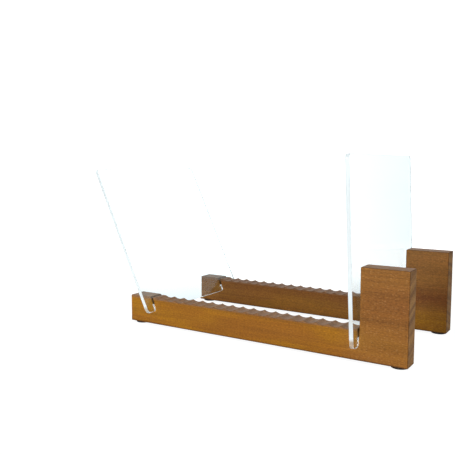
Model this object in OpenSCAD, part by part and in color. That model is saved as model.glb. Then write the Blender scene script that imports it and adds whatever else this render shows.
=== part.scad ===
// Record storage stand: two scalloped wooden sides, held at their distance by two clear
// panels that slot into them, on four rubber feet. Millimetres.
// +X is the front, the end with the posts, and +Z is up. The origin is on the floor, under
// the middle of the whole stand.

/* [Wooden sides] */
// Length of a side along the floor
side_length = 320; // [280:1:420]
// Thickness of the boards
board = 19; // [15:0.5:22]
// Height of a rail, from its underside to the crests of its scallops
rail_height = 30; // [26:0.5:45]
// Height of a front post, from the underside of its rail
post_height = 87; // [60:1:120]
// Depth of a front post along the side
post_depth = 45; // [30:1:60]
// Width of the stand over both sides
stand_width = 155; // [120:1:240]
// Chamfer along the edges of the boards
edge_ease = 1; // [0.4:0.1:1.6]

/* [Scallops] */
// Distance from one crest to the next
scallop_pitch = 13; // [10:0.5:20]
// Depth of a scallop below the crests
scallop_depth = 1.7; // [0.8:0.1:2.5]
// Flat left standing on each crest
crest_width = 0.6; // [0.4:0.1:3]

/* [Clear panels] */
// Thickness of a panel
panel_thickness = 4; // [3:0.5:6]
// Height of a panel over its ears
panel_height = 175; // [120:1:220]
// Reach of a panel past the outer face of each side
ear_reach = 14; // [11:0.5:20]
// Depth of the notches in a panel's lower edge, where it straddles the rails
notch_depth = 8; // [5:0.5:11]
// Radius of a panel's outer corners
panel_corner = 5; // [2:0.5:9]
// Radius of the corners beside the notches
notch_corner = 3; // [1:0.5:4]

/* [Slots] */
// Depth of a slot below the crests, at its middle
slot_depth = 8.5; // [6:0.5:11]
// Width of a slot over the thickness of its panel
slot_play = 0.45; // [0.2:0.05:0.8]
// Play between a notch and each face of its rail
notch_play = 1; // [0.5:0.1:2]
// Slope of the rear slots, back from upright
rear_slope = 23; // [10:1:30]
// Rail left behind the mouth of a rear slot
rear_land = 27; // [20:1:60]

/* [Feet] */
// Diameter of a foot
foot_diameter = 16; // [10:1:18]
// Height of a foot
foot_height = 2; // [1.5:0.5:5]
// Distance from the end of a side to the edge of its foot
foot_inset = 2; // [1.5:0.5:15]

/* [Hidden] */
$fn = 64;

// What a cut reaches past the surface it opens
over = 1;
// What keeps a resting panel off the walls and floor of its slot
touch_gap = 0.03;
// Slope of the rim round the underside of a foot
foot_rim = 0.5;

slot_width = panel_thickness + slot_play;
panel_width = stand_width + 2 * ear_reach;

// The mouth of each slot is where its rear wall meets the crests: [x, z]
front_mouth = [side_length - post_depth - slot_width, rail_height];
rear_mouth = [rear_land, rail_height];

// Each scallop is part of a round cut. This is the cut's radius.
scallop_chord = scallop_pitch - crest_width;
scallop_radius = (scallop_chord ^ 2 / 4 + scallop_depth ^ 2) / (2 * scallop_depth);
// The row of scallops starts with a whole crest behind the front slot, and ends short of the rear one
scallop_start = front_mouth.x - crest_width / 2;
scallop_count = floor((scallop_start - rear_mouth.x - slot_width / cos(rear_slope)) / scallop_pitch);

// A point [x, z] turned back from upright by an angle
function turned(p, angle) = [p.x * cos(angle) - p.y * sin(angle), p.x * sin(angle) + p.y * cos(angle)];
// Length of the rear wall of a slot with this slope
function wall_depth(slope) = slot_depth + slot_width / 2 * tan(slope);
// A panel tips back in its slot until it rests on both walls. This is the angle it tips by.
function tip(slope) = asin((slot_width - 2 * touch_gap) / norm([panel_thickness, wall_depth(slope)]))
    - atan2(panel_thickness, wall_depth(slope));
// Where the rear wall of a slot meets its floor
function slot_corner(mouth, slope) = mouth + turned([0, -wall_depth(slope)], slope);
// Where the rear edge of a panel's notches rests on the slot's floor
function panel_seat(mouth, slope) = slot_corner(mouth, slope)
    + turned([slot_width - touch_gap - panel_thickness * cos(tip(slope)), touch_gap], slope);

// The highest point at the back of the rear panel is the rearmost point of the stand
rear_reach = panel_seat(rear_mouth, rear_slope)
    + turned([0, panel_height - notch_depth], rear_slope + tip(rear_slope));
// Carries the sides' own corner, rear end and underside, to the stand's origin
corner = [-(side_length + rear_reach.x) / 2, 0, foot_height];

// A block with a chamfer along all its edges
module eased_block(size) {
    e = edge_ease;
    function octagon(a, b) = [[e, 0], [a - e, 0], [a, e], [a, b - e], [a - e, b], [e, b], [0, b - e], [0, e]];
    intersection() {
        linear_extrude(size.z) polygon(octagon(size.x, size.y));
        translate([0, size.y, 0]) rotate([90, 0, 0]) linear_extrude(size.y) polygon(octagon(size.x, size.z));
        rotate([90, 0, 90]) linear_extrude(size.x) polygon(octagon(size.y, size.z));
    }
}

// The cut for a panel, across a board whose inner or outer face is at y = 0
module slot_cut(mouth, slope) {
    bottom = slot_corner(mouth, slope);
    translate([bottom.x, -over, bottom.y]) rotate([0, -slope, 0])
        cube([slot_width, board + 2 * over, post_height]);
}

// The row of round cuts that leaves the crests standing
module scallop_cuts() {
    for (i = [0 : scallop_count - 1])
        translate([scallop_start - (i + 0.5) * scallop_pitch, -over, rail_height - scallop_depth + scallop_radius])
            rotate([-90, 0, 0]) cylinder(h = board + 2 * over, r = scallop_radius, $fn = 96);
}

// One wooden side: a rail with a post at its front end, in one board
module side_board() {
    color("#9b672c") difference() {
        union() {
            eased_block([side_length, board, rail_height]);
            translate([side_length - post_depth, 0, 0]) eased_block([post_depth, board, post_height]);
        }
        scallop_cuts();
        slot_cut(front_mouth, 0);
        slot_cut(rear_mouth, rear_slope);
    }
}

// One lower corner of a strip, rounded, which fills a square of side r
module round_corner(r) {
    intersection() {
        translate([r, r]) circle(r);
        square(r);
    }
}

// A flat strip with its lower corners rounded by the radii r1, at its start, and r2
module tongue(width, height, r1, r2) {
    difference() {
        square([width, height]);
        square(r1);
        translate([width - r2, 0]) square(r2);
    }
    round_corner(r1);
    translate([width, 0]) mirror([1, 0]) round_corner(r2);
}

// The outline of a panel: its width is centred, and its notches end at height 0
module panel_outline() {
    ear = ear_reach - notch_play;
    outer = min(panel_corner, ear - notch_corner);
    middle = stand_width - 2 * board - 2 * notch_play;
    top = panel_height - notch_depth;
    // Above the notches, with rounded upper corners
    translate([-panel_width / 2, 0]) square([panel_width, top - panel_corner]);
    translate([-panel_width / 2 + panel_corner, 0]) square([panel_width - 2 * panel_corner, top]);
    for (s = [-1, 1]) translate([s * (panel_width / 2 - panel_corner), top - panel_corner]) circle(panel_corner);
    // Below: an ear outside each rail, and a tongue between them
    for (s = [0, 1]) mirror([s, 0]) translate([-panel_width / 2, -notch_depth])
        tongue(ear, notch_depth + over, min(outer, notch_depth), notch_corner);
    translate([-middle / 2, -notch_depth]) tongue(middle, notch_depth + over, notch_corner, notch_corner);
}

// A panel, resting in its slots
module panel(mouth, slope) {
    seat = panel_seat(mouth, slope);
    color("#dfeff2", 0.35)
        translate(corner + [seat.x, 0, seat.y]) rotate([0, -slope - tip(slope), 0])
            rotate([90, 0, 90]) linear_extrude(panel_thickness) panel_outline();
}

// A rubber foot. end is 1 at the front and 0 at the rear, and hand is 1 on the right, -1 on the left.
module foot(end, hand) {
    r = foot_diameter / 2;
    x = end == 1 ? side_length - foot_inset - r : foot_inset + r;
    color("#1d1611") translate([corner.x + x, hand * (stand_width - board) / 2, 0])
        rotate_extrude() polygon([[0, 0], [r - foot_rim, 0], [r, foot_rim], [r, foot_height], [0, foot_height]]);
}

module left_side() translate(corner + [0, -stand_width / 2, 0]) side_board();
module right_side() translate(corner + [0, stand_width / 2 - board, 0]) side_board();
module front_panel() panel(front_mouth, 0);
module rear_panel() panel(rear_mouth, rear_slope);
module left_front_foot() foot(1, -1);
module left_rear_foot() foot(0, -1);
module right_front_foot() foot(1, 1);
module right_rear_foot() foot(0, 1);

left_side();
right_side();
front_panel();
rear_panel();
left_front_foot();
left_rear_foot();
right_front_foot();
right_rear_foot();
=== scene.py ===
# %% [markdown]
# # A record storage stand
#
# The real stand is two wooden sides, two clear panels that slot down over them and four rubber feet.
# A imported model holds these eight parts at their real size, and this lesson gives each of them the
# mesh and the finish of the real thing, in the same place.
#
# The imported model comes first. It is the frame that everything below is measured from, so nothing in
# it is moved or changed.

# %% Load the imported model
import math

import bmesh
import bpy
from mathutils import Matrix, Vector


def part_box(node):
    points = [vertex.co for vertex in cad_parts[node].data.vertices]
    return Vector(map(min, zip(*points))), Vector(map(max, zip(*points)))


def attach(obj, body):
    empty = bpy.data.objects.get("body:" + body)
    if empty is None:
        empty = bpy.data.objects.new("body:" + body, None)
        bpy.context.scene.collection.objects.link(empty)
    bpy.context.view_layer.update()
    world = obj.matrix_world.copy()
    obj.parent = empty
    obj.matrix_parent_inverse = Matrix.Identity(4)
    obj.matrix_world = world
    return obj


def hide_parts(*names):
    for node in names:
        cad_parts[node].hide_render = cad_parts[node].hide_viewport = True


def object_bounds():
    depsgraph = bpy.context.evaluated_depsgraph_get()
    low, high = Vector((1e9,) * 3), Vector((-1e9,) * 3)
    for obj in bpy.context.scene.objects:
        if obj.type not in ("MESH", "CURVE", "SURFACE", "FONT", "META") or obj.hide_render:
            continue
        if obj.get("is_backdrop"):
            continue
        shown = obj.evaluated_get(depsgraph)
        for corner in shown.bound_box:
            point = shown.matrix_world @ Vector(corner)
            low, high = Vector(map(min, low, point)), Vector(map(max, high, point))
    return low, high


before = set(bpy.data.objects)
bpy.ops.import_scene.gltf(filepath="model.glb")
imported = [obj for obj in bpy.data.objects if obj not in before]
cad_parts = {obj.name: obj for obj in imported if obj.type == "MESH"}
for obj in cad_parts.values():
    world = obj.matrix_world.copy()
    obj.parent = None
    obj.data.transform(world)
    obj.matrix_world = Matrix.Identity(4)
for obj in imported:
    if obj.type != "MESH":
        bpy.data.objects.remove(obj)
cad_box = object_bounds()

print("Parts in the frame:", ", ".join(sorted(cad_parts)))

# %% [markdown]
# ## Sizes
#
# The frame says where each part is. A box gives only the outer size, so what it can't give, such as
# the depth of a slot, is written here once, in metres, with the value that the part was built with.

# %% Sizes from the frame
mm = 0.001
quarter_turn = math.radians(90)

side_low, side_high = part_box("left_side")
side_length = side_high.x - side_low.x
board = side_high.y - side_low.y
post_height = side_high.z - side_low.z
stand_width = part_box("right_side")[1].y - side_low.y

sizes = {"length": side_length, "board": board, "post": post_height, "width": stand_width}
for name, size in sizes.items():
    print(f"{name}: {size / mm:.1f} mm")

# %% Sizes that a box can't give
rail_height = 30 * mm
post_depth = 45 * mm
scallop_pitch = 13 * mm
scallop_depth = 1.7 * mm
crest_width = 0.6 * mm

panel_thickness = 4 * mm
panel_height = 175 * mm
ear_reach = 14 * mm
notch_depth = 8 * mm
panel_corner = 5 * mm
notch_corner = 3 * mm

slot_depth = 8.5 * mm
slot_width = panel_thickness + 0.45 * mm
notch_play = 1 * mm
touch_gap = 0.03 * mm
front_slope = 0.0
rear_slope = math.radians(23)

# The mouth of a slot is where its rear wall meets the crests: (x, z) from a side's lower rear corner
front_mouth = Vector((side_length - post_depth - slot_width, rail_height))
rear_mouth = Vector((27 * mm, rail_height))
print(f"A panel of {panel_thickness / mm:.0f} mm stands in a slot of {slot_width / mm:.2f} mm")

# %% [markdown]
# ## How a panel leans
#
# A slot is cut across the rail, upright at the front and sloped at the rear. It is a little wider than
# the panel, so a panel tips back in it until it rests on both walls. Both the wood and the panels need
# these few formulas, which turn a slot into the angle and the seat of its panel.

# %% Slots and seats
def turned(point, angle):
    """The point (x, z), turned back from upright."""
    x, z = point
    return Vector((x * math.cos(angle) - z * math.sin(angle), x * math.sin(angle) + z * math.cos(angle)))


def wall_depth(slope):
    """Length of the rear wall of a slot."""
    return slot_depth + slot_width / 2 * math.tan(slope)


def slot_corner(mouth, slope):
    """Where the rear wall of a slot meets its floor."""
    return mouth + turned((0, -wall_depth(slope)), slope)


def lean(slope):
    """The angle of a panel that rests in a slot, back from upright."""
    depth = wall_depth(slope)
    play = math.asin((slot_width - 2 * touch_gap) / math.hypot(panel_thickness, depth))
    return slope + play - math.atan2(panel_thickness, depth)


def seat(mouth, slope):
    """Where the rear edge of a panel's notches rests on the floor of a slot."""
    across = slot_width - touch_gap - panel_thickness * math.cos(lean(slope) - slope)
    return slot_corner(mouth, slope) + turned((across, touch_gap), slope)


for name, slope in (("front", front_slope), ("rear", rear_slope)):
    print(f"The {name} panel leans back by {math.degrees(lean(slope)):.1f} degrees")

# %% [markdown]
# ## Working with nodes
#
# A shape that follows a rule is easy to change when the rule is a tree of nodes with named inputs, and
# a finish is a tree of nodes too. These helpers keep both kinds short to write: one feeds a socket, one
# adds a node and feeds its inputs, and the others do sums with numbers and directions.

# %% Helpers for every tree
def feed(tree, socket, value):
    """Links an input to another node's output, or sets it to a plain value."""
    if isinstance(value, bpy.types.NodeSocket):
        tree.links.new(value, socket)
    else:
        socket.default_value = value


def add(tree, kind, inputs=None, **settings):
    """Adds a node of this kind to a tree. Inputs are known by their name or their number."""
    made = tree.nodes.new(kind)
    made.location.x = 200 * len(tree.nodes)
    for name, value in settings.items():
        setattr(made, name, value)
    for key, value in (inputs or {}).items():
        feed(tree, made.inputs[key], value)
    return made


def calc(tree, operation, *values, **settings):
    """The result of a Math node."""
    return add(tree, "ShaderNodeMath", dict(enumerate(values)), operation=operation, **settings).outputs[0]


def calc_vector(tree, operation, *values):
    """A Vector Math node. Its outputs are Vector and Value."""
    return add(tree, "ShaderNodeVectorMath", dict(enumerate(values)), operation=operation).outputs


def axes(tree, vector):
    """The X, Y and Z of a vector."""
    return add(tree, "ShaderNodeSeparateXYZ", {0: vector}).outputs


# %% [markdown]
# ## Running a tree of Geometry Nodes
#
# A modifier runs the tree on an object. What comes out is kept as a plain mesh, because exporters and
# other programs can't run the tree. The values of its named inputs are set on the modifier, by the
# identifier of each input, because two inputs may have the same name.

# %% Helpers for Geometry Nodes
def new_tree(name, **inputs):
    """A Geometry Nodes tree with these named inputs, and the values that come in."""
    tree = bpy.data.node_groups.new(name, "GeometryNodeTree")
    tree.interface.new_socket("Shape", in_out="OUTPUT", socket_type="NodeSocketGeometry")
    tree.interface.new_socket("Outline", in_out="INPUT", socket_type="NodeSocketGeometry")
    for label, kind in inputs.items():
        tree.interface.new_socket(label, in_out="INPUT", socket_type="NodeSocket" + kind)
    return tree, add(tree, "NodeGroupInput").outputs


def settle(piece):
    """Keeps what the modifiers of a piece make as its own plain mesh."""
    graph = bpy.context.evaluated_depsgraph_get()
    evaluated = piece.evaluated_get(graph)
    mesh = bpy.data.meshes.new_from_object(evaluated, preserve_all_data_layers=True, depsgraph=graph)
    piece.modifiers.clear()
    piece.data = mesh
    piece.data.name = piece.name


def run(tree, piece, **values):
    """Runs a tree on a piece. Each value goes to the input of its name, by the input's identifier."""
    modifier = piece.modifiers.new(tree.name, "NODES")
    modifier.node_group = tree
    for item in tree.interface.items_tree:
        if item.in_out == "INPUT" and item.name in values:
            modifier[item.identifier] = values[item.name]
    settle(piece)


# %% Helpers for meshes
flat_enough = math.radians(30)
same_place = 0.001 * mm


def new_piece(name, points, edges=(), faces=()):
    """An object at the origin, whose mesh holds its place."""
    mesh = bpy.data.meshes.new(name)
    mesh.from_pydata(points, edges, faces)
    piece = bpy.data.objects.new(name, mesh)
    bpy.context.scene.collection.objects.link(piece)
    return piece


def shade(piece):
    """Shades rounded edges smoothly and flat faces flat."""
    piece.modifiers.new("Flat faces", "WEIGHTED_NORMAL").keep_sharp = False
    piece.data.shade_smooth()
    settle(piece)


def ease(piece, width, segments, by_weight=False):
    """Rounds the sharp edges of a piece, or those that have a weight."""
    bevel = piece.modifiers.new("Eased edges", "BEVEL")
    bevel.width = width
    bevel.segments = segments
    bevel.limit_method = "WEIGHT" if by_weight else "ANGLE"
    bevel.angle_limit = flat_enough
    bevel.use_clamp_overlap = False
    shade(piece)


def describe(piece):
    """Prints the size of a piece, and whether its surface is closed and faces outward."""
    shape = bmesh.new()
    shape.from_mesh(piece.data)
    gaps = sum(not edge.is_manifold for edge in shape.edges)
    volume = shape.calc_volume(signed=True) / mm ** 3
    size = " x ".join(f"{side / mm:.1f}" for side in piece.dimensions)
    print(f"{piece.name}: {size} mm, {len(shape.faces)} faces, {gaps} open edges, {volume:.0f} mm3")
    shape.free()


# %% [markdown]
# ## The finish of the wood
#
# The sides are hardwood, sawn so that the growth rings cross the board almost level. Ring bands about
# a centimetre apart show on the ends, and carry on along the faces as long soft streaks. A brown stain
# went on before the lacquer: it is golden where the wood is open and redder where it is dense.
#
# A pattern that is solid, in the object's own coordinates, gives all of this at once. One distance
# from the heart of the tree makes the bands on every face, and they meet at the edges as they do in a
# real board. A broad zone at one distance is redder, which is the heartwood. Fibres and pores are
# noise that is stretched along the board, so they turn into dots on its ends.
#
# Then comes what the workshop did, with some painted light. The posts are sanded paler, and more of their
# pores show as pale flecks, which on the posts also stand for painted sheen. The scalloped tops took less
# stain and are paler, partly as painted sheen, and dust with painted sheen greys and dulls every top. The
# edges and the bottom of the board are darker, and the slots are darkened with painted shade. Each of
# these is a share between two colours, found from where the surface is and which way it faces.

# %% Helpers for materials
def new_material(name):
    """A material with an empty tree."""
    made = bpy.data.materials.new(name)
    made.use_nodes = True
    made.node_tree.nodes.clear()
    return made, made.node_tree


def show(tree, surface):
    """Ends a material: this is its surface."""
    return add(tree, "ShaderNodeOutputMaterial", {"Surface": surface})


def blend_colours(tree, share, first, second):
    """The first colour where a share is 0, and the second where it is 1."""
    # A Mix node has sockets for each kind of value, with the same names. Those for colours are 6 and 7
    return add(tree, "ShaderNodeMix", {0: share, 6: first, 7: second}, data_type="RGBA").outputs[2]


def covered(tree, colour, stain, share, amount):
    """A colour under a stain, which covers this amount of it where the share is 1."""
    return blend_colours(tree, calc(tree, "MULTIPLY", share, amount), colour, stain)


def scaled(tree, colour, size):
    """A colour, made brighter or darker."""
    return add(tree, "ShaderNodeVectorMath", {0: colour, "Scale": size}, operation="SCALE").outputs[0]


def blend_shaders(tree, share, first, second):
    """The first shader where a share is 0, and the second where it is 1."""
    inputs = {0: share, 1: first.outputs[0], 2: second.outputs[0]}
    return add(tree, "ShaderNodeMixShader", inputs).outputs[0]


def add_relief(tree, shader, height, strength, depth):
    """Gives a shader relief that is too fine to be modelled."""
    relief = add(tree, "ShaderNodeBump", {"Height": height, "Strength": strength, "Distance": depth})
    feed(tree, shader.inputs["Normal"], relief.outputs[0])


# %% Helpers for shares
def part_of(tree, share, amount):
    """A share, made smaller."""
    return calc(tree, "MULTIPLY", share, amount)


def rest_of(tree, share):
    """What a share leaves."""
    return calc(tree, "SUBTRACT", 1.0, share)


def from_to(tree, share, low, high):
    """A number that goes from low to high as a share goes from 0 to 1."""
    # The sockets for plain numbers are 2 and 3
    inputs = {0: share, 2: low, 3: high}
    return add(tree, "ShaderNodeMix", inputs, data_type="FLOAT", clamp_factor=False).outputs[0]


def between(tree, value, low, high):
    """0 below one value and 1 above the other, with a soft step."""
    inputs = {"Value": value, "From Min": low, "From Max": high}
    return add(tree, "ShaderNodeMapRange", inputs, interpolation_type="SMOOTHSTEP").outputs["Result"]


# %% Helpers for grain
# The smallest dash, as a share of the largest
least_dash = 0.3


def stretched(tree, vector, along, across):
    """Coordinates that count repeats per metre, along the board and across it."""
    inputs = {"Vector": vector, "Scale": (along, across, across)}
    return add(tree, "ShaderNodeMapping", inputs, vector_type="POINT").outputs["Vector"]


def noise(tree, vector, detail=2.0, roughness=0.5):
    """Smooth noise, one lump to each unit of the vector. Its outputs are Fac and Color."""
    inputs = {"Vector": vector, "Scale": 1.0, "Detail": detail, "Roughness": roughness}
    return add(tree, "ShaderNodeTexNoise", inputs).outputs


def dashes(tree, vector, size, share):
    """Short marks along the grain: 1 inside a mark. A share of the cells has one, each of its own size."""
    cells = add(tree, "ShaderNodeTexVoronoi", {"Vector": vector, "Scale": 1.0}, feature="F1").outputs
    chance = add(tree, "ShaderNodeSeparateColor", {0: cells["Color"]}).outputs
    reach = from_to(tree, chance[1], least_dash * size, size)
    inside = calc(tree, "SUBTRACT", 1.0, calc(tree, "DIVIDE", cells["Distance"], reach), use_clamp=True)
    kept = calc(tree, "LESS_THAN", chance[0], share)
    return calc(tree, "MULTIPLY", inside, kept)


# %% The growth rings
ring_width = 8 * mm
ring_wander = 7 * mm
# The noise that is between two rings, and that is in the middle of one
ring_edge = (0.32, 0.68)


def from_heart(tree, place, heart):
    """The distance from the heart of the tree, with the small waves that real rings have."""
    waves = noise(tree, stretched(tree, place, along=6, across=25), detail=1.0)["Color"]
    shifted = calc_vector(tree, "MULTIPLY_ADD", waves, (0, ring_wander, ring_wander), place)
    inputs = {"Vector": shifted["Vector"], "Location": -Vector(heart), "Scale": (0, 1, 1)}
    centred = add(tree, "ShaderNodeMapping", inputs, vector_type="POINT")
    return calc_vector(tree, "LENGTH", centred.outputs["Vector"])["Value"]


def growth_rings(tree, reach):
    """Bands round the heart of the tree, from 0 to 1, with each ring its own strength."""
    inputs = {"W": calc(tree, "DIVIDE", reach, ring_width), "Scale": 1.0, "Detail": 1.5}
    rings = add(tree, "ShaderNodeTexNoise", inputs, noise_dimensions="1D")
    return between(tree, rings.outputs[0], *ring_edge)


def ruddy_zone(tree, reach, middle, width):
    """1 in the middle of a broad zone of redder wood, and 0 outside it."""
    off_middle = calc(tree, "ABSOLUTE", calc(tree, "SUBTRACT", reach, middle))
    return rest_of(tree, between(tree, off_middle, 0.0, width / 2))


# %% The colours of the wood
golden = (0.410, 0.168, 0.006, 1)
ruddy = (0.340, 0.125, 0.010, 1)
heartwood = (0.190, 0.055, 0.010, 1)
sanded = (0.290, 0.120, 0.028, 1)
dense = (0.190, 0.070, 0.012, 1)
open_end = (0.335, 0.165, 0.048, 1)
dense_end = (0.190, 0.090, 0.028, 1)
ring_cover = 0.30
patch_edge = (0.35, 0.65)


def wood_colour(tree, place, on_end, sanding, heart, zone):
    """The broad colours of a board: patches, a zone of heartwood, rings, and its ends."""
    reach = from_heart(tree, place, heart)
    rings = growth_rings(tree, reach)
    patches = noise(tree, stretched(tree, place, along=11, across=40))["Fac"]
    colour = blend_colours(tree, between(tree, patches, *patch_edge), golden, ruddy)
    colour = blend_colours(tree, sanding, colour, sanded)
    middle, width, amount = zone
    colour = covered(tree, colour, heartwood, ruddy_zone(tree, reach, middle, width), amount)
    colour = covered(tree, colour, dense, rings, ring_cover)
    end = blend_colours(tree, rings, open_end, dense_end)
    return blend_colours(tree, on_end, colour, end)


# %% Which way the surface faces
# A part of the normal is 1 where the surface faces that way, and 0.71 halfway round an edge
faces_up = (0.60, 0.95)
faces_along = (0.55, 0.85)
faces_squarely = (0.78, 0.95)


def facing(tree, normal):
    """How much the surface faces along the board, is an eased edge and faces up, each from 0 to 1."""
    on_top = between(tree, axes(tree, normal)["Z"], *faces_up)
    x, y, z = axes(tree, calc_vector(tree, "ABSOLUTE", normal)["Vector"])
    most = calc(tree, "MAXIMUM", calc(tree, "MAXIMUM", x, y), z)
    on_end = between(tree, x, *faces_along)
    on_edge = rest_of(tree, between(tree, most, *faces_squarely))
    return on_end, on_edge, on_top


# %% Where on the side it is
post_starts = side_high.x - post_depth
rail_top = side_low.z + rail_height

# From where to where on the side each of these goes from 0 to 1
post_reached = (post_starts - 30 * mm, post_starts + 10 * mm)
post_climbed = (10 * mm, 50 * mm)
crests_reached = (rail_top - 3.4 * mm, rail_top - 1.5 * mm)
bottom_cleared = (side_low.z, side_low.z + 2.6 * mm)
post_face_margin = 0.1 * mm


def whereabouts(tree, place):
    """How far it is to the post, up the post, on the milled crests and at the bottom, from 0 to 1."""
    x, y, z = axes(tree, place)
    to_post = between(tree, x, *post_reached)
    up_post = between(tree, z, *post_climbed)
    behind_post = calc(tree, "LESS_THAN", x, post_starts - post_face_margin)
    on_crests = calc(tree, "MULTIPLY", behind_post, between(tree, z, *crests_reached))
    at_bottom = rest_of(tree, between(tree, z, *bottom_cleared))
    return to_post, up_post, on_crests, at_bottom


# %% The marks of the grain
fibre_shades = (0.70, 1.30)
streak_shades = (0.825, 1.175)
speckle_shades = (0.30, 1.70)


def grain_marks(tree, place):
    """The fibres, what the grain does to the brightness of a colour, the pale flecks and the dark pores."""
    fibres = noise(tree, stretched(tree, place, along=22, across=900), detail=3.0)["Fac"]
    streaks = noise(tree, stretched(tree, place, along=10, across=260))["Fac"]
    speckle = noise(tree, stretched(tree, place, along=430, across=1200))["Fac"]
    shades = from_to(tree, fibres, *fibre_shades)
    shades = calc(tree, "MULTIPLY", shades, from_to(tree, streaks, *streak_shades))
    shades = calc(tree, "MULTIPLY", shades, from_to(tree, speckle, *speckle_shades))
    flecks = dashes(tree, stretched(tree, place, along=430, across=1100), size=0.6, share=0.35)
    pores = dashes(tree, stretched(tree, place, along=300, across=2600), size=0.55, share=0.45)
    return fibres, shades, flecks, pores


# %% What the workshop did to the colour, with painted sheen and shade
# The crests are paler where they took less stain, and paler still with painted sheen
milled = (0.270, 0.150, 0.085, 1)
# Every top is greyed by dust and by painted sheen
dust_and_sheen = (0.300, 0.158, 0.082, 1)
pale_fleck = (0.480, 0.235, 0.075, 1)
dark_pore = (0.085, 0.030, 0.008, 1)
# A dark brown for the edges and the bottom, and for painted shade in the slots
dark_edge_and_slot_shade = (0.060, 0.022, 0.006, 1)

# How much of the wood each of them covers. Pale flecks are rare on the rail and common on the post, where
# they also stand for painted sheen
fleck_and_sheen_cover = (0.12, 0.70)
milled_and_sheen_cover = 0.60
pore_cover = 0.55
dust_and_sheen_cover = 0.60
bottom_darkening = 0.80
slot_shade_cover = 0.40
# How much an edge is darkened, and the edge of a milled crest, which stays light for its painted sheen
edge_cover = (0.75, 0.15)


def darkened_edges_and_bottom(tree, on_edge, on_crests, at_bottom):
    """Where the wood is darker: along the eased edges and along the bottom of the board."""
    along_edges = calc(tree, "MULTIPLY", on_edge, from_to(tree, on_crests, *edge_cover))
    return calc(tree, "MAXIMUM", along_edges, part_of(tree, at_bottom, bottom_darkening))


# %% The stained wood
wood_gloss = 0.15
# From the bottom of the grain to the top of it
wood_roughness = (0.38, 0.54)
fibre_relief = 0.5
end_dullness = 0.14
top_dullness = 0.06


def stained_wood(name, heart, zone, sanding, tone):
    """Stained hardwood. The heart of the tree is a point.

    A zone of heartwood is its distance from the heart, its width and its share of the colour. Sanding is
    the share of paler wood along the rail, low on the post and high on it. Tone is how bright the stain
    leaves the rail and the post. On a rail with a low tone and much sanding they also paint shade.
    """
    material, tree = new_material(name)
    coordinates = add(tree, "ShaderNodeTexCoord").outputs
    place = coordinates["Object"]
    on_end, on_edge, on_top = facing(tree, coordinates["Normal"])
    to_post, up_post, on_crests, at_bottom = whereabouts(tree, place)
    fibres, shades, flecks, pores = grain_marks(tree, place)
    sawn = add(tree, "ShaderNodeAttribute", attribute_name="sawn").outputs["Fac"]

    rail_sanding, *post_sanding = sanding
    sanding = from_to(tree, to_post, rail_sanding, from_to(tree, up_post, *post_sanding))
    colour = wood_colour(tree, place, on_end, sanding, heart, zone)
    # More pale flecks towards the post, which also stand for painted sheen there
    colour = covered(tree, colour, pale_fleck, flecks, from_to(tree, to_post, *fleck_and_sheen_cover))
    # The crests take less stain, and get painted sheen
    colour = covered(tree, colour, milled, on_crests, milled_and_sheen_cover)
    # Tone is the board's own stain, and on the right rail also painted shade
    colour = scaled(tree, colour, calc(tree, "MULTIPLY", shades, from_to(tree, to_post, *tone)))
    colour = covered(tree, colour, dark_pore, pores, pore_cover)
    # Upward faces greyed by dust and by painted sheen
    colour = covered(tree, colour, scaled(tree, dust_and_sheen[:3], shades), on_top, dust_and_sheen_cover)
    # Darker along the eased edges and along the bottom of the board
    darkened = darkened_edges_and_bottom(tree, on_edge, on_crests, at_bottom)
    colour = blend_colours(tree, darkened, colour, dark_edge_and_slot_shade)
    # The slot faces get painted shade
    colour = covered(tree, colour, dark_edge_and_slot_shade, sawn, slot_shade_cover)

    duller = calc(tree, "MULTIPLY_ADD", on_end, end_dullness, part_of(tree, on_top, top_dullness))
    roughness = calc(tree, "ADD", from_to(tree, fibres, *wood_roughness), duller)
    inputs = {"Base Color": colour, "Specular IOR Level": wood_gloss, "Roughness": roughness}
    shader = add(tree, "ShaderNodeBsdfPrincipled", inputs)
    height = calc(tree, "SUBTRACT", part_of(tree, fibres, fibre_relief), pores)
    add_relief(tree, shader, height, strength=0.35, depth=0.06 * mm)
    show(tree, shader.outputs[0])
    print(f"{name}: {len(tree.nodes)} nodes")
    return material


# %% Stain both sides
side_middle = stand_width / 2 - board / 2
left_wood = stained_wood(
    "stained_wood_left", heart=(0, -side_middle + 60 * mm, -140 * mm), zone=(207 * mm, 70 * mm, 0.45),
    sanding=(0.0, 0.60, 0.78), tone=(0.95, 0.98),
)
# The right board's own stain is darker. Its rail is darker and duller again, partly as painted shade
right_wood = stained_wood(
    "stained_wood_right", heart=(0, side_middle - 50 * mm, -120 * mm), zone=(167 * mm, 42 * mm, 0.90),
    sanding=(0.45, 0.10, 0.75), tone=(0.63, 0.76),
)

# %% [markdown]
# ## The wooden sides
#
# Each side is one board cut to an L: a long rail with a post at its front end. A round cutter has
# scalloped the top of the rail, so that what stands on it can't slide. The scallops repeat at an even
# pitch and end just short of the slots, which is a rule, so the side is made with Geometry Nodes.
#
# The mesh that goes in is only the outline as one flat face, with closely spaced points where the
# scallops will be. The tree pulls those points down to the cutter's arc, then gives the outline the
# thickness of the board. A cut with a Boolean would give the same shape, but with more and worse faces.

# %% The outline of a side
points_in_scallop = 18
scallop_chord = scallop_pitch - crest_width
scallop_radius = (scallop_chord ** 2 / 4 + scallop_depth ** 2) / (2 * scallop_depth)
scallop_start = front_mouth.x - crest_width / 2
rear_slot_end = rear_mouth.x + slot_width / math.cos(rear_slope)
scallop_count = math.floor((scallop_start - rear_slot_end) / scallop_pitch)

post_back = side_length - post_depth
front_floor = slot_corner(front_mouth, front_slope)
rear_floor = slot_corner(rear_mouth, rear_slope)

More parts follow.
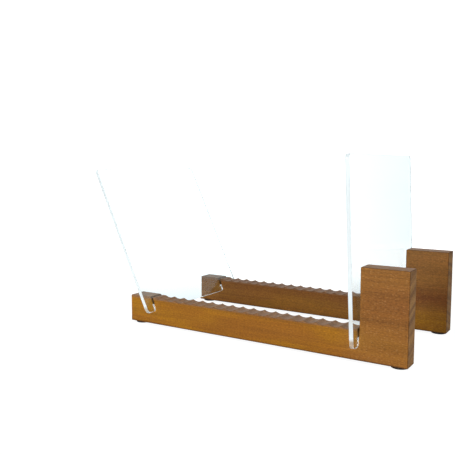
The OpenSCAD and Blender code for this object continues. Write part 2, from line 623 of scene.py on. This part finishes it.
before_slots = [(0, 0), (side_length, 0), (side_length, post_height), (post_back, post_height)]
front_slot = [(post_back, rail_height), (post_back, front_floor.y), tuple(front_floor), tuple(front_mouth)]
scallop_row = [
    (scallop_start - scallop_pitch * i / points_in_scallop, rail_height)
    for i in range(scallop_count * points_in_scallop + 1)
]
rear_slot = [
    (rear_slot_end, rail_height),
    tuple(rear_floor + turned((slot_width, 0), rear_slope)),
    tuple(rear_floor),
    tuple(rear_mouth),
]
side_outline = [*before_slots, *front_slot, *scallop_row, *rear_slot, (0, rail_height)]
print(f"{scallop_count} scallops cut to a radius of {scallop_radius / mm:.1f} mm")
print(f"The outline has {len(side_outline)} points")


# %% Nodes that both shapes need
def read(tree, name, kind="FLOAT"):
    """What is stored on the shape under this name."""
    return add(tree, "GeometryNodeInputNamedAttribute", {"Name": name}, data_type=kind).outputs["Attribute"]


def store(tree, shape, name, domain, value):
    """The shape, with a value stored on it under this name."""
    inputs = {"Geometry": shape, "Name": name, "Value": value}
    return add(tree, "GeometryNodeStoreNamedAttribute", inputs, data_type="FLOAT", domain=domain).outputs[0]


def thickened(tree, flat, thickness):
    """A closed solid, made from a flat face by moving a copy of it up."""
    inputs = {"Mesh": flat, "Offset": (0, 0, 1), "Offset Scale": thickness, "Individual": False}
    raised = add(tree, "GeometryNodeExtrudeMesh", inputs, mode="FACES")
    base = add(tree, "GeometryNodeFlipFaces", {"Mesh": flat})
    both = add(tree, "GeometryNodeJoinGeometry", {0: raised.outputs["Mesh"]})
    feed(tree, both.inputs[0], base.outputs["Mesh"])
    inputs = {"Geometry": both.outputs[0], "Distance": same_place}
    return add(tree, "GeometryNodeMergeByDistance", inputs).outputs[0]


def placed(tree, shape, turn, place=(0, 0, 0)):
    """The shape, turned and then moved."""
    inputs = {"Geometry": shape, "Rotation": turn, "Translation": place}
    return add(tree, "GeometryNodeTransform", inputs).outputs[0]


def hand_over(tree, shape, finish):
    """Ends a tree: its copies become real, and they get their finish."""
    real = add(tree, "GeometryNodeRealizeInstances", {"Geometry": shape})
    finished = add(tree, "GeometryNodeSetMaterial", {"Geometry": real.outputs[0], "Material": finish})
    add(tree, "NodeGroupOutput", {"Shape": finished.outputs[0]})


# %% The tree for a side
sharp_edge = math.radians(45)
# The share of a face's corners that counts as all of them
nearly_all = 0.75


def cut_scallops(tree, value):
    """Pulls the points of the scalloped row down to the arc of the cutter."""
    x = axes(tree, add(tree, "GeometryNodeInputPosition").outputs[0])["X"]
    along = calc(tree, "MODULO", calc(tree, "SUBTRACT", value["Start"], x), value["Pitch"])
    off_middle = calc(tree, "SUBTRACT", along, calc(tree, "MULTIPLY", value["Pitch"], 0.5))
    radius_squared = calc(tree, "POWER", value["Radius"], 2)
    squares = calc(tree, "SUBTRACT", radius_squared, calc(tree, "POWER", off_middle, 2))
    arc = calc(tree, "SUBTRACT", value["Radius"], calc(tree, "SQRT", squares))
    left_standing = calc(tree, "SMOOTH_MIN", arc, value["Depth"], value["Softness"])
    drop = add(tree, "ShaderNodeCombineXYZ", {"Y": calc(tree, "SUBTRACT", left_standing, value["Depth"])})
    in_row = read(tree, "scalloped", kind="BOOLEAN")
    inputs = {"Geometry": value["Outline"], "Selection": in_row, "Offset": drop.outputs[0]}
    return add(tree, "GeometryNodeSetPosition", inputs).outputs[0]


def scalloped_board_tree():
    """Scallops an outline, thickens it and stands it up. Its edges get a weight for their rounding."""
    tree, value = new_tree(
        "Scalloped board", Thickness="Float", Pitch="Float", Depth="Float", Radius="Float",
        Start="Float", Softness="Float", Slot_Ease="Float", Place="Vector", Finish="Material",
    )
    solid = thickened(tree, cut_scallops(tree, value), value["Thickness"])

    # A face whose corners are all points of a slot was left by the saw. The wood gets painted shade there
    slotted = calc(tree, "GREATER_THAN", read(tree, "slot"), nearly_all)
    marked = store(tree, solid, "sawn", "FACE", slotted)

    # Sharp edges are rounded, those of the slots only a little. A crest is blunter, and stays as it is
    angle = add(tree, "GeometryNodeInputMeshEdgeAngle").outputs["Unsigned Angle"]
    sharp = calc(tree, "GREATER_THAN", angle, sharp_edge)
    held_back = calc(tree, "MULTIPLY", slotted, rest_of(tree, value["Slot_Ease"]))
    weight = calc(tree, "MULTIPLY", sharp, rest_of(tree, held_back))
    weighted = store(tree, marked, "bevel_weight_edge", "EDGE", weight)

    stood = placed(tree, weighted, (quarter_turn, 0, 0), value["Place"])
    hand_over(tree, stood, value["Finish"])
    print(f"{tree.name}: {len(tree.nodes)} nodes")
    return tree


scalloped_board = scalloped_board_tree()


# %% Make both sides
side_ease = 1.0 * mm
slot_ease_share = 0.25
crest_softness = 0.2 * mm


def mark_points(piece, name, kind, values):
    """Stores a value on each point of a piece, under this name."""
    piece.data.attributes.new(name, kind, "POINT").data.foreach_set("value", values)


def wooden_side(name, node, finish):
    """One side, in the place of its CAD node."""
    low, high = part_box(node)
    flat_points = [(x, z, 0) for x, z in side_outline]
    piece = new_piece(name, flat_points, faces=[range(len(flat_points))])
    mark_points(piece, "scalloped", "BOOLEAN", [point in scallop_row for point in side_outline])
    mark_points(piece, "slot", "FLOAT", [float(point in front_slot + rear_slot) for point in side_outline])
    run(
        scalloped_board, piece, Thickness=board, Pitch=scallop_pitch, Depth=scallop_depth,
        Radius=scallop_radius, Start=scallop_start, Softness=crest_softness, Slot_Ease=slot_ease_share,
        Place=(low.x, high.y, low.z), Finish=finish,
    )
    ease(piece, width=side_ease, segments=3, by_weight=True)
    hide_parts(node)
    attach(piece, "root")
    describe(piece)
    return piece


left_side = wooden_side("left_side_wood", "left_side", left_wood)
right_side = wooden_side("right_side_wood", "right_side", right_wood)

# %% [markdown]
# ## The finish of the clear panels
#
# The panels are clear acrylic. Light goes in at one sawn edge, runs along inside the sheet and comes
# out at the other, which is why the edges look bright and bluish while the face is hardly there. So
# the sheet is a real solid of glass-like material that takes a trace of colour out of long paths. The
# rim is polished less than the face: it scatters the light that reaches it, and shows faint lines from
# the saw. The ears below the notches have only wood behind them, so there the rim is a blurred brown.
#
# Lamps can't shine through such a material by themselves in a path tracer without a lot of noise. A
# Light Path node lets the rays that look for a lamp pass straight through.

# %% The surface of the acrylic
clear = (0.885, 0.975, 1.0, 1)
frosted = (0.935, 0.990, 1.0, 1)
acrylic_bends_light = 1.49
polish = (0.01, 0.04)

# Of the rim in the ears, and above them
rim_frost = (0.08, 1.0)
rim_roughness = (0.55, 0.12)
# The height above and below the top of a notch over which the one turns to the other
rim_change = 1 * mm
# What shines through where there is no frost, and where there is
shines_through = (1.0, 0.32)


def acrylic_surface(tree):
    """A polished face and a sawn rim. The attribute rim is 1 on the sawn edge."""
    place = add(tree, "ShaderNodeTexCoord").outputs["Object"]
    rim = add(tree, "ShaderNodeAttribute", attribute_name="rim").outputs["Fac"]
    # Above the notches the rim glows with what runs along the sheet. An ear is short: its rim is left
    # rough from the saw, and blurs the wood behind it
    notch_top = rail_top - slot_depth
    above_ears = between(tree, axes(tree, place)["Z"], notch_top - rim_change, notch_top + rim_change)
    frost = calc(tree, "MULTIPLY", rim, from_to(tree, above_ears, *rim_frost))
    wear = noise(tree, stretched(tree, place, along=90, across=90), detail=3.0)["Fac"]
    saw_lines = noise(tree, stretched(tree, place, along=60, across=1400))["Fac"]

    sawn = from_to(tree, above_ears, *rim_roughness)
    shader = add(tree, "ShaderNodeBsdfPrincipled", {
        "Base Color": blend_colours(tree, frost, clear, frosted),
        "IOR": acrylic_bends_light,
        "Roughness": calc(tree, "MULTIPLY_ADD", rim, sawn, from_to(tree, wear, *polish)),
        "Transmission Weight": from_to(tree, frost, *shines_through),
    })
    add_relief(tree, shader, calc(tree, "MULTIPLY", saw_lines, rim), strength=0.05, depth=0.03 * mm)
    return shader


# %% The clear acrylic
lamp_tint = (0.93, 0.96, 0.97, 1)
path_tint = (0.50, 0.60, 0.635, 1)
path_tint_density = 2.0


def clear_acrylic():
    """Clear sheet that lets the light of the lamps through, and tints what runs along inside it."""
    material, tree = new_material("clear_acrylic")
    surface = acrylic_surface(tree)
    through = add(tree, "ShaderNodeBsdfTransparent", {"Color": lamp_tint})
    looks_for_lamp = add(tree, "ShaderNodeLightPath").outputs["Is Shadow Ray"]
    inside = add(tree, "ShaderNodeVolumeAbsorption", {"Color": path_tint, "Density": path_tint_density})
    output = show(tree, blend_shaders(tree, looks_for_lamp, surface, through))
    feed(tree, output.inputs["Volume"], inside.outputs[0])
    print(f"{material.name}: {len(tree.nodes)} nodes")
    return material


acrylic = clear_acrylic()

# %% [markdown]
# ## The clear panels
#
# A panel is a flat sheet, cut with rounded corners. Its lower edge has two notches that straddle the
# rails, which leaves an ear outside each rail and a tongue between them.
#
# An outline with a radius at each corner is a job for curves. The points carry their radius as an
# attribute, Fillet Curve rounds each corner by its own radius, and Fill Curve closes the outline to a
# sheet. Then the sheet gets its thickness, leans back and goes to its seat, all by named inputs.

# %% The outline of a panel
half_width = stand_width / 2 + ear_reach
rail_outer = stand_width / 2 + notch_play
rail_inner = stand_width / 2 - board - notch_play
ear_corner = min(panel_corner, ear_reach - notch_play - notch_corner, notch_depth)
cutter_corner = 0.4 * mm

# Each corner of the right half from the bottom middle round to the top: across, up, radius
half_outline = [
    (rail_inner, -notch_depth, notch_corner),
    (rail_inner, 0, cutter_corner),
    (rail_outer, 0, cutter_corner),
    (rail_outer, -notch_depth, notch_corner),
    (half_width, -notch_depth, ear_corner),
    (half_width, panel_height - notch_depth, panel_corner),
]
panel_outline = half_outline + [(-across, up, radius) for across, up, radius in reversed(half_outline)]
print(f"A panel has {len(panel_outline)} corners and is {2 * half_width / mm:.0f} mm wide")


# %% The tree for a panel
halfway = 0.5


def set_mode(node, mode):
    """Sets a node's mode, which newer versions of Blender keep in a menu input."""
    if "Mode" in node.inputs:
        node.inputs["Mode"].default_value = mode
    else:
        node.mode = {"Poly": "POLY", "N-gons": "NGONS"}[mode]


def round_and_fill(tree, value):
    """Rounds each corner of an outline by its own radius, and fills it."""
    loop = add(tree, "GeometryNodeMeshToCurve", {"Mesh": value["Outline"]})
    rounded = add(tree, "GeometryNodeFilletCurve")
    set_mode(rounded, "Poly")
    feed(tree, rounded.inputs["Curve"], loop.outputs[0])
    feed(tree, rounded.inputs["Count"], value["Corner_Steps"])
    feed(tree, rounded.inputs["Radius"], read(tree, "corner"))
    rounded.inputs["Limit Radius"].default_value = True
    filled = add(tree, "GeometryNodeFillCurve")
    set_mode(filled, "N-gons")
    feed(tree, filled.inputs["Curve"], rounded.outputs[0])
    return filled.outputs[0]


def sheet_tree():
    """Rounds an outline's corners, fills it and thickens it, then leans it back on its seat."""
    tree, value = new_tree(
        "Cut sheet", Thickness="Float", Corner_Steps="Int", Lean="Float", Seat="Vector", Finish="Material",
    )
    solid = thickened(tree, round_and_fill(tree, value), value["Thickness"])

    # The sawn rim is what doesn't face straight up or down yet
    facing_up = axes(tree, add(tree, "GeometryNodeInputNormal").outputs[0])["Z"]
    on_rim = calc(tree, "LESS_THAN", calc(tree, "ABSOLUTE", facing_up), halfway)
    marked = store(tree, solid, "rim", "FACE", on_rim)

    # Across turns to Y and up turns to Z, then the sheet leans back about its seat
    stood = placed(tree, marked, (quarter_turn, 0, quarter_turn))
    back = add(tree, "ShaderNodeCombineXYZ", {"Y": calc(tree, "MULTIPLY", value["Lean"], -1.0)})
    leaned = placed(tree, stood, back.outputs[0], value["Seat"])
    hand_over(tree, leaned, value["Finish"])
    print(f"{tree.name}: {len(tree.nodes)} nodes")
    return tree


cut_sheet = sheet_tree()

# %% Make both panels
corner_steps = 12
panel_ease = 0.25 * mm


def clear_panel(name, node, mouth, slope):
    """One panel, resting in its slots, in the place of its CAD node."""
    corners = range(len(panel_outline))
    loop = [(i, (i + 1) % len(corners)) for i in corners]
    piece = new_piece(name, [(across, up, 0) for across, up, radius in panel_outline], edges=loop)
    mark_points(piece, "corner", "FLOAT", [radius for across, up, radius in panel_outline])
    rests_at = seat(mouth, slope)
    place = (side_low.x + rests_at.x, 0, side_low.z + rests_at.y)
    run(
        cut_sheet, piece, Thickness=panel_thickness, Corner_Steps=corner_steps, Lean=lean(slope),
        Seat=place, Finish=acrylic,
    )
    ease(piece, width=panel_ease, segments=2)
    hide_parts(node)
    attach(piece, node)
    describe(piece)
    return piece


front_panel = clear_panel("front_panel_acrylic", "front_panel", front_mouth, front_slope)
rear_panel = clear_panel("rear_panel_acrylic", "rear_panel", rear_mouth, rear_slope)

# %% [markdown]
# ## The rubber feet
#
# A foot is a thin round pad of dark rubber, moulded with a soft rim and glued under the end of a side.
# Anything round like this is quickest as half a section that is spun about its middle, which is what a
# Screw modifier does when it doesn't rise. The rim is a quarter circle, and the underside is drawn in a
# little so that the pad grips round its edge.

# %% The rubber
clean_rubber = (0.012, 0.008, 0.006, 1)
dusty_rubber = (0.040, 0.030, 0.024, 1)
dust_edge = (0.5, 0.75)
# Where it is clean, and where it is dusty
rubber_roughness = (0.55, 0.80)


def dark_rubber():
    """Matt moulded rubber with a fine grain and some dust on it."""
    material, tree = new_material("dark_rubber")
    place = add(tree, "ShaderNodeTexCoord").outputs["Object"]
    grain = noise(tree, stretched(tree, place, along=2500, across=2500))["Fac"]
    dust = noise(tree, stretched(tree, place, along=180, across=180), detail=4.0, roughness=0.6)["Fac"]
    colour = blend_colours(tree, between(tree, dust, *dust_edge), clean_rubber, dusty_rubber)
    roughness = from_to(tree, dust, *rubber_roughness)
    shader = add(tree, "ShaderNodeBsdfPrincipled", {"Base Color": colour, "Roughness": roughness})
    add_relief(tree, shader, grain, strength=0.4, depth=0.05 * mm)
    show(tree, shader.outputs[0])
    print(f"{material.name}: {len(tree.nodes)} nodes")
    return material


rubber = dark_rubber()

# %% The section of a foot
foot_steps = 48
rim_steps = 5
foot_rim = 0.7 * mm
foot_hollow = 0.25 * mm
# The hollow of the underside is level up to here, and ends here, as shares of the radius
hollow_level = 0.55
hollow_end = 0.68


def foot_section(radius, height):
    """Half a section of a foot, from the middle of its underside to the middle of its top: (out, up)."""
    underside = [(0, foot_hollow), (radius * hollow_level, foot_hollow), (radius * hollow_end, 0)]
    rim = []
    for i in range(rim_steps + 1):
        turn = quarter_turn * i / rim_steps
        rim.append((radius - foot_rim + foot_rim * math.sin(turn), foot_rim - foot_rim * math.cos(turn)))
    return [*underside, *rim, (radius, height), (0, height)]


# %% Make the feet
def spin(piece):
    """Spins a section about the Z axis to a closed shape, whose faces point outward."""
    spun = piece.modifiers.new("Spun", "SCREW")
    spun.steps = foot_steps
    spun.render_steps = foot_steps
    spun.use_merge_vertices = True
    spun.merge_threshold = same_place
    settle(piece)
    # A section can be spun inside out, so the faces are turned outward here
    shape = bmesh.new()
    shape.from_mesh(piece.data)
    bmesh.ops.recalc_face_normals(shape, faces=shape.faces)
    shape.to_mesh(piece.data)
    shape.free()


def rubber_foot(node):
    """One foot, spun about its middle, in the place of its CAD node."""
    low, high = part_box(node)
    radius = (high.x - low.x) / 2
    section = [(out, 0, up) for out, up in foot_section(radius, high.z - low.z)]
    piece = new_piece(node + "_rubber", section, edges=[(i, i + 1) for i in range(len(section) - 1)])
    spin(piece)
    piece.data.transform(Matrix.Translation(low + Vector((radius, radius, 0))))
    piece.data.materials.append(rubber)
    shade(piece)
    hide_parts(node)
    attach(piece, "root")
    describe(piece)
    return piece


feet = [rubber_foot(node) for node in sorted(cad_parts) if node.endswith("_foot")]

# %% Count what was made
pieces = [left_side, right_side, front_panel, rear_panel, *feet]
print(f"{len(pieces)} pieces with {sum(len(piece.data.polygons) for piece in pieces)} faces")

# %% [markdown]
# ## Floor and daylight
#
# The stand was photographed on white. A white floor under even light does the same, and still keeps a
# soft shadow that sets the stand down. Far from the stand the floor fades into the backdrop, so that no
# horizon shows.
#
# In such a photograph the backdrop is lit far more than the subject, so it comes out as pure white and
# a clear panel in front of it hardly shows. So the backdrop gets two levels: what the camera sees, in
# the open or straight through a panel, is brighter than white, while what falls on the stand leaves its
# colours as they were written. A Light Path node tells the two apart. Only the backdrop's side of the
# room is that bright. The rest is just white, and a panel seen against it keeps its faint colour.
#
# What a panel mirrors is the rest of the room, which is dim. So its far part, where it is seen at the
# flattest angle and mirrors most, looks a little darker than the backdrop behind it.

# %% What is seen, and where
white_level = 1.06
backdrop_level = 1.52
mirrored_share = 0.5
towards_backdrop = Vector((-0.545, 0.839, 0.0))
# The cosine of the angle from it at which the backdrop begins, and at which it has its full level
backdrop_edge = (0.62, 0.86)


def seen_directly(tree, straight=0):
    """1 for rays from the camera, in the open or straight through a clear panel. A ray that was mirrored
    inside the panel first counts in part. Straight is the number of turns that Blender counts for a ray
    that made none: 0 at a surface and 1 at the world.
    """
    path = add(tree, "ShaderNodeLightPath").outputs
    seen = calc(tree, "MAXIMUM", path["Is Camera Ray"], path["Is Transmission Ray"])
    turns = calc(tree, "SUBTRACT", path["Ray Depth"], path["Transmission Depth"])
    mirrored = calc(tree, "GREATER_THAN", turns, straight + 0.5)
    return calc(tree, "MULTIPLY", seen, from_to(tree, mirrored, 1.0, mirrored_share))


def on_backdrop_side(tree, direction):
    """1 towards the backdrop and 0 away from it, for a direction of length one."""
    facing_it = calc_vector(tree, "DOT_PRODUCT", direction, towards_backdrop)["Value"]
    return between(tree, facing_it, *backdrop_edge)


print(f"White is shown at {white_level:.2f}, and the backdrop at {backdrop_level:.2f}")

# %% The floor
floor_reach = 6.0
# The floor fades to the backdrop over this distance from the middle of the stand
fade = (0.14, 0.40)
# The white ends a little beyond the stand. What a panel mirrors from further off is dim
white_ends = (0.60, 1.20)
matt_white = (0.96, 0.96, 0.96, 1)
matt_dim = (0.05, 0.05, 0.05, 1)
# How much of a shadow is veiled, and how bright the matt floor is where nothing shades it
shadow_veil = 0.76
open_floor = 0.62


def floor_glow(tree, faded, place):
    """The share of the glow, and a shader that glows as much as the matt floor lacks in the open."""
    direction = calc_vector(tree, "NORMALIZE", place)["Vector"]
    brighter = calc(tree, "MULTIPLY", faded, on_backdrop_side(tree, direction))
    level = from_to(tree, brighter, white_level, backdrop_level)
    share = from_to(tree, faded, shadow_veil, 1.0)
    lacking = calc(tree, "SUBTRACT", level, part_of(tree, rest_of(tree, share), open_floor))
    return share, add(tree, "ShaderNodeEmission", {"Strength": calc(tree, "DIVIDE", lacking, share)})


def white_floor():
    """A white floor that keeps shadows near the stand and fades to the backdrop away from it."""
    corners = [(-1, -1), (1, -1), (1, 1), (-1, 1)]
    points = [(x * floor_reach, y * floor_reach, 0) for x, y in corners]
    piece = new_piece("floor", points, faces=[(0, 1, 2, 3)])
    material, tree = new_material("white_floor")
    place = add(tree, "ShaderNodeTexCoord").outputs["Object"]
    away = calc_vector(tree, "LENGTH", place)["Value"]
    share, glow = floor_glow(tree, between(tree, away, *fade), place)
    shade_of_white = blend_colours(tree, between(tree, away, *white_ends), matt_white, matt_dim)
    matt = add(tree, "ShaderNodeBsdfDiffuse", {"Color": shade_of_white})
    glowing = calc(tree, "MULTIPLY", share, seen_directly(tree))
    show(tree, blend_shaders(tree, glowing, matt, glow))
    piece.data.materials.append(material)
    piece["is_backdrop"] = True
    print(f"The floor reaches {floor_reach:.0f} m and fades out from {fade[0]:.2f} to {fade[1]:.2f} m")


white_floor()

# %% The backdrop and the light of the room
room_light = 0.34
backdrop_light = 1.10
daylight = (0.94, 1.0, 1.03, 1)
pure_white = (1, 1, 1, 1)
# The room is dark up to the horizon, and at full strength from this height of a direction
walls_lit = 0.35


def white_room():
    """A world that is white to look at. What it sheds is soft light, most of it from the backdrop."""
    world = bpy.data.worlds.new("white_room")
    bpy.context.scene.world = world
    world.use_nodes = True
    tree = world.node_tree
    tree.nodes.clear()
    direction = add(tree, "ShaderNodeTexCoord").outputs["Generated"]
    behind = on_backdrop_side(tree, direction)
    from_walls = part_of(tree, between(tree, axes(tree, direction)["Z"], 0.0, walls_lit), room_light)
    strength = calc(tree, "MAXIMUM", part_of(tree, behind, backdrop_light), from_walls)
    light = add(tree, "ShaderNodeBackground", {"Color": daylight, "Strength": strength})
    shown = from_to(tree, behind, white_level, backdrop_level)
    backdrop = add(tree, "ShaderNodeBackground", {"Color": pure_white, "Strength": shown})
    seen = seen_directly(tree, straight=1)
    add(tree, "ShaderNodeOutputWorld", {"Surface": blend_shaders(tree, seen, light, backdrop)})
    print(f"{world.name}: {len(tree.nodes)} nodes")


white_room()


# %% The lamps
def soft_box(name, place, size, power):
    """A square lamp that faces the middle of the stand."""
    lamp = bpy.data.lights.new(name, "AREA")
    lamp.size = size
    lamp.energy = power
    made = bpy.data.objects.new(name, lamp)
    made.location = place
    towards_stand = Vector((0, 0, post_height / 2)) - made.location
    made.rotation_euler = towards_stand.to_track_quat("-Z", "Y").to_euler()
    bpy.context.scene.collection.objects.link(made)
    print(f"{name}: {power} W, {towards_stand.length:.1f} m from the stand")


soft_box("key_lamp", (-0.5, -2.6, 0.9), size=1.4, power=50)
soft_box("fill_lamp", (2.6, 0.2, 1.0), size=1.4, power=25)

# %% [markdown]
# ## Light inside the panels
#
# Light that runs along inside a sheet is mirrored at its faces many times before it comes out at the
# rim. Cycles gives up after a few turns unless it is told otherwise, and the rim would come out dark.

# %% Let light run through the sheets
light_paths = bpy.context.scene.cycles
light_paths.max_bounces = 48
light_paths.transmission_bounces = 32
light_paths.glossy_bounces = 32
print(f"Light may turn {light_paths.max_bounces} times, {light_paths.glossy_bounces} of them at a mirror")

# %% [markdown]
# ## The camera
#
# The camera stands at the front left corner, a little above the posts. Its place and lens were worked
# out from the straight edges of the two sides, whose real sizes are known.

# %% Set up the camera
camera_from_side = Vector((0.4710, -0.5212, 0.1777))
camera_place = side_low + camera_from_side
camera_turn = math.radians(33.020)
camera_dip = math.radians(5.789)
camera_lens = 48.42
sensor_width = 36

camera_data = bpy.data.cameras.new("camera")
camera_data.lens = camera_lens
camera_data.sensor_width = sensor_width
camera = bpy.data.objects.new("camera", camera_data)
camera.location = camera_place
camera.rotation_euler = (quarter_turn - camera_dip, 0, camera_turn)
bpy.context.scene.collection.objects.link(camera)
bpy.context.scene.camera = camera
bpy.context.scene.view_settings.view_transform = "Standard"
print(f"The camera is {camera_place.length:.2f} m from the middle of the stand")

# %% [markdown]
# ## The size of the boxes
#
# The box of the imported model and the box of the finished stand are both printed.

# %% Print both boxes
visual_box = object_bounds()
for name, box in (("CAD", cad_box), ("visual", visual_box)):
    size = box[1] - box[0]
    print(f"{name} box: {size.x / mm:.2f} x {size.y / mm:.2f} x {size.z / mm:.2f} mm")
